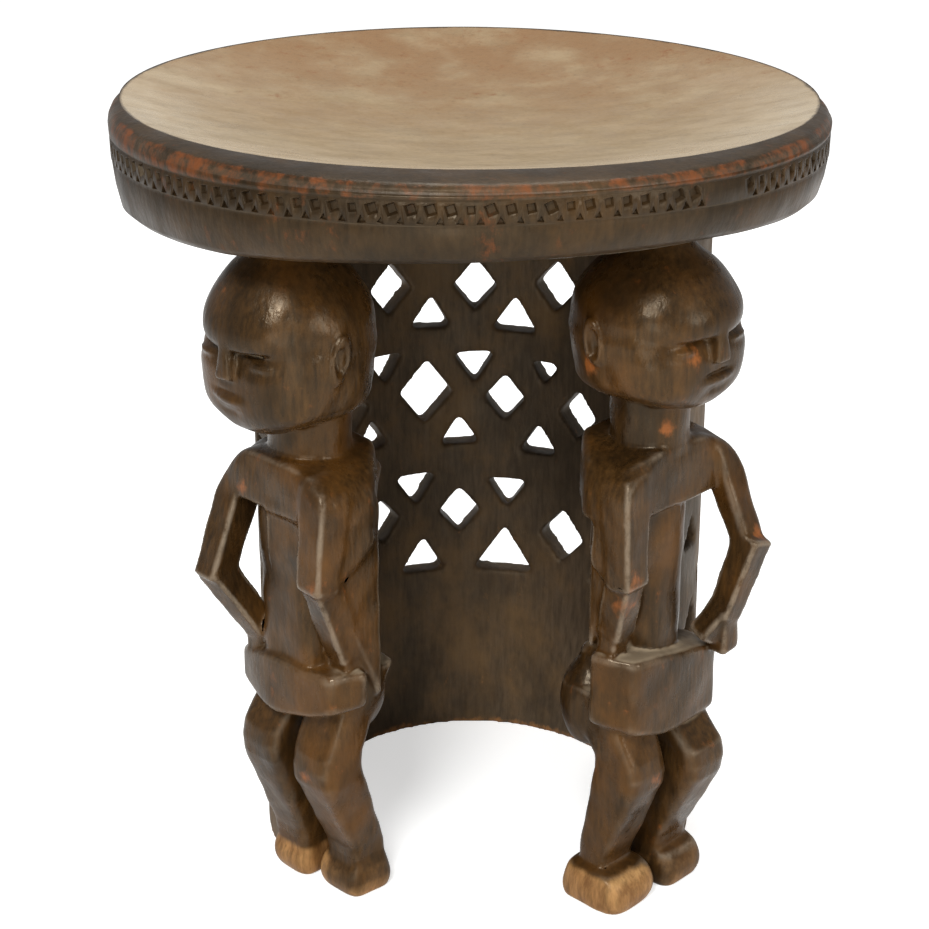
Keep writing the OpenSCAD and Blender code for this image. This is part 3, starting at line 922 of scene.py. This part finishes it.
# The chip cutters: radii, depth and the share of the inner end, in metres, and a seeded unevenness
BAND_TOOL = {"Diamond Radius": 0.0040, "Square Radius": 0.0036, "Triangle Radius": 0.0026, "Depth": 0.0024,
             "Inner Share": 0.55, "Seed": 7, "Unevenness": 0.16}
LATTICE_TOOL = {"Diamond Radius": 0.0128, "Square Radius": 0.0128, "Triangle Radius": 0.0122, "Depth": 0.060,
                "Inner Share": 1.06, "Seed": 3, "Unevenness": 0.06}
DIAMOND, SQUARE, TRIANGLE = 0, 1, 2
# Rows of the band: kind, azimuth shift, drop below the groove, roll, width and height
BAND_ROWS = ((SQUARE, 0.0, 3.5, 14.0, 1.0, 1.05), (TRIANGLE, 1.3, 8.7, 0.0, 1.0, 1.0))
BAND_STEP = 2.77
BAND_COUNT = 130
BAND_GAP = (35.4, 43.7)
BAND_RADIUS = 175.3


def seat_value(azimuth, column):
    """A measured value round the seat, smoothed over its neighbours."""
    t = np.array(SEAT_WALK, float)
    total = 0.0
    for shift, share in ((-12, 0.25), (0, 0.5), (12, 0.25)):
        total = total + share * np.interp(azimuth + shift, t[:, 0], t[:, column], period=360)
    return total


def ring_mesh(name, rings):
    """A closed skin through rings of points, the first and last closed by a fan."""
    count = len(rings[0])
    j = np.arange(count)
    k = (j + 1) % count
    steps = [i * count for i in range(len(rings) - 1)]
    walls = [np.stack([a + j, a + count + j, a + count + k, a + k], 1) for a in steps]
    quads = np.concatenate(walls).tolist()
    top = len(rings) * count
    last = top - count
    for i in range(count):
        quads.append([top, int(j[i]), int(k[i])])
        quads.append([top + 1, int(last + k[i]), int(last + j[i])])
    points = np.concatenate(rings + [rings[0].mean(0)[None], rings[-1].mean(0)[None]])
    mesh = make_mesh(name, points.tolist(), quads)
    mesh.polygons.foreach_set("use_smooth", np.ones(len(mesh.polygons), bool))
    return mesh


def dish_fill(x, y):
    """One at the dish's middle, zero at its edge and below zero outside."""
    return 1 - ((x / DISH_WIDE) ** 2 + ((y - DISH_BACK) / DISH_DEEP) ** 2)


def dish_edge(a):
    """Distance from the axis to the dish's edge at an angle from the front."""
    s, c = np.sin(a) / DISH_WIDE, np.cos(a) / DISH_DEEP
    k = s * s + c * c
    m = c * DISH_BACK / DISH_DEEP
    return (-m + np.sqrt(m * m + k * (1 - (DISH_BACK / DISH_DEEP) ** 2))) / k


def seat_profile(azimuth):
    """Radius and height of each ring, from the dish's middle over the rim to the underside."""
    a = np.radians(azimuth)
    rim, groove, low = (seat_value(azimuth, i) for i in (1, 2, 3))
    wobble = 0.7 * np.sin(5 * a + 0.6) + 0.5 * np.sin(11 * a) + 0.3 * np.sin(23 * a + 1.0)
    edge = dish_edge(a)
    profile = []
    for t in (0.05, 0.15, 0.28, 0.42, 0.55, 0.67, 0.77, 0.86, 0.93, 0.98):
        sunk = DISH_DEPTH * dish_fill(edge * t * np.sin(a), -edge * t * np.cos(a))
        profile.append((edge * t, rim * t * t + SEAT_TOP * (1 - t * t) - sunk))
    # Lip and rim
    profile += [(edge - 0.4, rim - 0.3), (edge + 0.8, rim), (edge + (170.0 - edge) * 0.5, rim - 0.3),
                (169.8 + 0.4 * wobble, rim - 0.9), (171.6 + 0.4 * wobble, rim - 1.6),
                (173.4 + 0.2 * wobble, rim - 3.4), (174.5, rim - 5.8), (174.9, (rim + groove) / 2 - 1.0)]
    # The two incised lines, and the band between them
    profile += [(174.7, groove + 1.2), (173.9, groove + 0.2), (173.9, groove - 0.4), (174.6, groove - 1.2),
                (174.4, groove - 10.0), (173.4, groove - 10.8), (174.0, groove - 12.0)]
    # Side and lower edge
    profile += [(172.8, (groove + low) / 2 - 4.0), (170.5, low + 4.0), (167.0, low + 0.8),
                (161.0, low - 1.0 * np.cos(a) ** 2)]
    for t in (0.88, 0.72, 0.55, 0.38, 0.2, 0.06):
        arch = ARCH_LOW + (UNDER_EDGE * t * np.cos(a)) ** 2 / ARCH_RADIUS
        off = np.maximum(low - ARCH_FRONT * np.cos(a) ** 2 - ARCH_LOW * np.sin(a) ** 2, -3.0)
        profile.append((UNDER_EDGE * t, arch + off * t ** 8))
    return profile


def build_seat():
    azimuth = np.linspace(-180, 180, 720, endpoint=False)
    a = np.radians(azimuth)
    rings = [np.stack([r * np.sin(a), -r * np.cos(a), z], 1) * MM for r, z in seat_profile(azimuth)]
    plain = make_object("seat_plain", ring_mesh("seat", rings))
    mesh = pierce(plain, band_cuts(), "rim_band", BAND_TOOL)
    x, y, z = rows(mesh.vertices, "co").T / MM
    r, turn = np.hypot(x, y), np.degrees(np.arctan2(x, -y))
    inside = dish_fill(x, y)
    over = z - seat_value(turn, 2)
    # Painted highlight along the rim's rounded arris, and painted light making the dish paler towards its rim
    # at the front and sides
    rim_arris_sheen = unit(1.3 - np.abs(r - 173.6) / 2.2) * (z > 392) * (inside < 0)
    dish_rim_painted_light = np.clip(1.1 - inside * 1.7, 0, 0.9) * unit(1 - (y + 30) / 150) * (inside > 0)
    rim_rub = (0.12 + 0.40 * (over > 1) * (z < 398.5)) * (r > 171) * (inside < 0)
    mark_points(mesh, dish=unit(inside * 14 + 0.45) * (z > 370), edge=0.25 * rim_arris_sheen + dish_rim_painted_light,
                hollow=np.clip(1.2 - np.abs(over + 10.8) / 0.9, 0, 0.55) * (r > 170) * (np.abs(turn) < 70),
                rubbed=rim_rub + 0.2 * unit(y / 120) * (inside > 0))
    hand_over("seat", mesh, "dish_wood")


def band_cuts():
    """Two rows of chip cuts under the rim's incised line: place, kind, turn, roll and size of each."""
    cuts = []
    for n in range(BAND_COUNT):
        for kind, shift, drop, roll, wide, tall in BAND_ROWS:
            at = -180 + BAND_STEP * n + shift
            if BAND_GAP[0] < at < BAND_GAP[1]:
                continue
            b = math.radians(at)
            place = (BAND_RADIUS * math.sin(b), -BAND_RADIUS * math.cos(b), float(seat_value(at, 2)) - drop)
            cuts.append((place, kind, math.radians(at - 90), math.radians(roll), (1.0, wide, tall)))
    return cuts


# Drum wall

WALL_OUT = 115.5
WALL_SHIFT = 5.0
WALL_REACH = 122.0
WALL_THICK = 13.0
FOOT_TOP = 100.0
CUT_RADIUS = 142
WALL_GRID = 0.0016
# Heights in metres where each piece of the wall begins and ends
WALL_PARTS = {"wall_plinth": (-0.01, 0.093), "lattice_screen": (0.093, 0.310), "wall_collar": (0.310, 0.352)}
# Holes seen in the photograph: kind, azimuth from the back, height, size
SEEN_HOLES = [
    ("diamond", -27.8, 271, 1.0), ("diamond", -0.9, 270, 1.0), ("diamond", 24.4, 272, 1.0),
    ("up", -14.7, 254, 1.0), ("up", 11.3, 252, 1.1), ("down", -29.8, 229, 1.0),
    ("down", -1.2, 226, 1.05), ("down", 21.2, 224, 0.7),
    ("diamond", -16.4, 208.5, 1.25), ("diamond", 8.4, 204, 0.95), ("diamond", 32.5, 199, 1.0),
    ("up", -34.8, 187, 1.0), ("up", -5.8, 183.5, 1.0), ("up", 19.3, 179.5, 1.0), ("down", -19.9, 154, 1.1),
    ("down", 9.3, 150, 1.0), ("diamond", -31.7, 134, 1.0), ("diamond", -5.8, 135, 1.0),
    ("diamond", 27.8, 123.5, 1.1), ("up", -17.8, 107, 1.15), ("up", 8.5, 108, 1.5)]
# Rows that go on round the sides: kind, height, first azimuth
SIDE_ROWS = [("diamond", 271, 54), ("up", 254, 40.5), ("down", 228, 55), ("diamond", 205, 42),
             ("up", 185, 60.5), ("down", 152, 46), ("diamond", 131, 57), ("up", 107, 44)]
HOLE_PITCH = 25.7
HOLE_REACH = 112
HOLE_CLEARANCE = 21


def wall_shell():
    a = np.radians(np.linspace(-WALL_REACH, WALL_REACH, 280))
    levels = np.concatenate([np.linspace(0, 93, 30), np.linspace(93, 352, 90)[1:]])
    nz, na = len(levels), len(a)
    z = levels[:, None] + 0 * a[None]
    low = unit((FOOT_TOP - z) / FOOT_TOP)
    # The foot of the wall is thicker, most of all on the right
    thick = WALL_THICK + 5.0 * low ** 1.5 + 6.0 * unit(np.sin(a))[None] * low

    def place(r):
        return np.stack([r * np.sin(a)[None] + WALL_SHIFT, r * np.cos(a)[None], z], 2).reshape(-1, 3) * MM
    points = np.concatenate([place(WALL_OUT + 0 * z), place(WALL_OUT - thick)])
    n = nz * na
    up, along = np.arange(nz - 1) * na, np.arange(na - 1)
    grid = (up[:, None] + along).ravel()
    # Two sides at a time: first corners of their quads, and the steps to the next corner and the last
    pairs = (((grid, na, 1), (n + grid, 1, na)), ((along, 1, n), (n - na + along, n, 1)),
             ((up, n, na), (up + na - 1, na, n)))
    quads = [np.stack([np.stack([p, p + a, p + a + b, p + b], 1) for p, a, b in pair], 1) for pair in pairs]
    mesh = make_mesh("wall", points.tolist(), np.concatenate(quads).reshape(-1, 4).tolist())
    work = bmesh.new()
    work.from_mesh(mesh)
    bmesh.ops.recalc_face_normals(work, faces=work.faces)
    work.to_mesh(mesh)
    work.free()
    return make_object("wall_shell", mesh)


def wall_cuts():
    """The holes seen, and the same rows going on round the sides clear of them."""
    holes = list(SEEN_HOLES)
    for kind, z0, start in SIDE_ROWS:
        for step in range(3):
            for sign in (-1, 1):
                az = sign * (start + HOLE_PITCH * step)
                clear = all(math.hypot((az - a1) * 2.0, z0 - z1) > HOLE_CLEARANCE
                            for _, a1, z1, _ in SEEN_HOLES)
                if abs(az) < HOLE_REACH and clear:
                    holes.append((kind, az, z0, 1.0))
    cuts = []
    for kind, az, height, size in holes:
        b = math.radians(az)
        four = kind == "diamond"
        z = height - (0 if four else 1.5)
        place = (CUT_RADIUS * math.sin(b) + WALL_SHIFT, CUT_RADIUS * math.cos(b), z)
        shape = (1.0, 0.9 * size, 1.1 * size) if four else (1.0, 1.05 * size, 0.95 * size)
        roll = math.pi if kind == "down" else 0.0
        cuts.append((place, DIAMOND if four else TRIANGLE, math.pi / 2 - b, roll, shape))
    return cuts


def evened(obj):
    """The object's mesh on an even grid, with its hole edges rounded."""
    grid = obj.modifiers.new("grid", "REMESH")
    grid.mode = "VOXEL"
    grid.voxel_size = WALL_GRID
    even = obj.modifiers.new("even", "SMOOTH")
    even.factor = 0.5
    even.iterations = 4
    return evaluated(obj)


def evaluated(obj):
    """The mesh that the modifiers make; the object goes."""
    bpy.context.view_layer.update()
    mesh = bpy.data.meshes.new_from_object(obj.evaluated_get(bpy.context.evaluated_depsgraph_get()))
    bpy.data.objects.remove(obj)
    return mesh


def build_wall():
    """The pierced wall behind the figures, split into plinth, screen and collar."""
    whole = pierce(wall_shell(), wall_cuts(), "pierced_lattice", LATTICE_TOOL)
    whole = evened(make_object("wall_soft", whole))
    uncut = rows(whole.vertex_normals)
    near = KDTree(len(whole.vertices))
    for i, vertex in enumerate(whole.vertices):
        near.insert(vertex.co, i)
    near.balance()
    for name, (z0, z1) in WALL_PARTS.items():
        work = bmesh.new()
        work.from_mesh(whole)
        for at, up in ((z0, -1), (z1, 1)):
            bmesh.ops.bisect_plane(work, geom=work.verts[:] + work.edges[:] + work.faces[:], dist=1e-7,
                                   plane_co=(0, 0, at), plane_no=(0, 0, up), clear_outer=True)
            rim = [e for e in work.edges if e.is_boundary]
            if rim:
                bmesh.ops.holes_fill(work, edges=rim, sides=0)
        bmesh.ops.triangulate(work, faces=[f for f in work.faces if len(f.verts) > 4])
        out = bpy.data.meshes.new(name)
        work.to_mesh(out)
        work.free()
        out.polygons.foreach_set("use_smooth", np.abs([f.normal.z for f in out.polygons]) < 0.999)
        x, y, z = rows(out.vertices, "co").T / MM
        # Beside a cut the normals are those of the uncut wall, so that the pieces meet smoothly
        normals = rows(out.vertex_normals)
        for i in np.flatnonzero(np.minimum(np.abs(z - z0 / MM), np.abs(z - z1 / MM)) < 1.3).tolist():
            normals[i] = uncut[[n for _, n, _ in near.find_n(out.vertices[i].co, 4)]].mean(0)
        out.normals_split_custom_set_from_vertices(normals.tolist())
        turn = np.degrees(np.arctan2(x - WALL_SHIFT, y))
        streak = np.maximum(*(unit(1.2 - np.abs(turn - at) / 2.5) for at in (-10, 12)))
        rubbed = np.clip(1.1 - z / 5, 0, 0.8) + 0.3 * streak * unit(1 - np.abs(z - 28) / 28)
        mark_points(out, rubbed=rubbed, hollow=0.0, edge=0.0)
        hand_over(name, out, "drum_wood")


def cutter_tree(name):
    """Cuts a shape with a cone at each mark: four-cornered, square or three-cornered."""
    tree = bpy.data.node_groups.new(name, "GeometryNodeTree")
    face = tree.interface
    face.new_socket("Geometry", in_out="INPUT", socket_type="NodeSocketGeometry")
    face.new_socket("Marks", in_out="INPUT", socket_type="NodeSocketObject")
    for label in BAND_TOOL:
        kind = "NodeSocketInt" if label == "Seed" else "NodeSocketFloat"
        face.new_socket(label, in_out="INPUT", socket_type=kind)
    face.new_socket("Geometry", in_out="OUTPUT", socket_type="NodeSocketGeometry")
    kit = Nodes(tree)
    given, end = kit.add("NodeGroupInput").outputs, kit.add("NodeGroupOutput")
    shapes = []
    for label, sides, turn in (("Diamond Radius", 4, 0.0), ("Square Radius", 4, math.pi / 4),
                               ("Triangle Radius", 3, 0.0)):
        made = kit.add("GeometryNodeMeshCone", {
            "Vertices": sides, "Radius Bottom": given[label], "Depth": given["Depth"],
            "Radius Top": kit.times(given[label], given["Inner Share"])}).outputs["Mesh"]
        # The cone is spun into place and its own axis laid along the radius, pointing inward
        for spin in ((0.0, 0.0, turn), (0.0, -math.pi / 2, 0.0)):
            made = kit.add("GeometryNodeTransform", {"Geometry": made, "Rotation": spin}).outputs["Geometry"]
        shapes.append(kit.add("GeometryNodeGeometryToInstance", {"Geometry": made}))
    join = kit.add("GeometryNodeJoinGeometry")
    for shape in reversed(shapes):
        kit.join(shape.outputs["Instances"], join.inputs["Geometry"])
    named = [kit.add("GeometryNodeInputNamedAttribute", {"Name": key}, data_type=data)
             for key, data in (("kind", "INT"), ("turn", "FLOAT_VECTOR"), ("size", "FLOAT_VECTOR"))]
    kind, turn, size = (item.outputs["Attribute"] for item in named)
    uneven = given["Unevenness"]
    chance = kit.add("FunctionNodeRandomValue", {
        2: kit.times(uneven, -1.0), 3: uneven, "Seed": given["Seed"]}, data_type="FLOAT").outputs[1]
    lean = kit.add("ShaderNodeCombineXYZ", {"X": chance}).outputs["Vector"]
    leaned = kit.add("ShaderNodeVectorMath", {0: turn, 1: lean}, operation="ADD").outputs["Vector"]
    grown = kit.add("ShaderNodeVectorMath", {0: size, "Scale": kit.plus(chance, 1.0)}, operation="SCALE")
    spread = kit.add("GeometryNodeInstanceOnPoints", {
        "Points": kit.add("GeometryNodeObjectInfo", {"Object": given["Marks"]}).outputs["Geometry"],
        "Instance": join.outputs["Geometry"], "Pick Instance": True, "Instance Index": kind,
        "Rotation": leaned, "Scale": grown.outputs["Vector"]})
    real = kit.add("GeometryNodeRealizeInstances", {"Geometry": spread.outputs["Instances"]})
    cut = kit.add("GeometryNodeMeshBoolean", {
        "Mesh 1": given["Geometry"], "Mesh 2": real.outputs["Geometry"]},
        operation="DIFFERENCE", solver="MANIFOLD")
    kit.join(cut.outputs["Mesh"], end.inputs["Geometry"])
    return tree


def pierce(obj, cuts, name, tool):
    """Runs the cutter tree over an object and returns the plain mesh."""
    places, kinds, turns, rolls, sizes = zip(*cuts)
    marks = make_mesh(name + "_marks", [tuple(c * MM for c in place) for place in places], [])
    marks.attributes.new("kind", "INT", "POINT").data.foreach_set("value", kinds)
    spins = [v for roll, turn in zip(rolls, turns) for v in (roll, 0.0, turn)]
    for key, values in (("turn", spins), ("size", [v for size in sizes for v in size])):
        marks.attributes.new(key, "FLOAT_VECTOR", "POINT").data.foreach_set("vector", values)
    marked = make_object(name + "_marks", marks)
    modifier = obj.modifiers.new(name, "NODES")
    modifier.node_group = cutter_tree(name)
    values = {"Marks": marked, **tool}
    for item in modifier.node_group.interface.items_tree:
        if item.item_type == "SOCKET" and item.in_out == "INPUT" and item.name in values:
            modifier[item.identifier] = values[item.name]
    mesh = evaluated(obj)
    bpy.data.objects.remove(marked)
    return mesh


bpy.context.scene.view_settings.view_transform = "Standard"
set_camera()
set_lights()
lay_floor()
build_seat()
build_wall()
build_figure("left", LEFT)
build_figure("right", RIGHT)
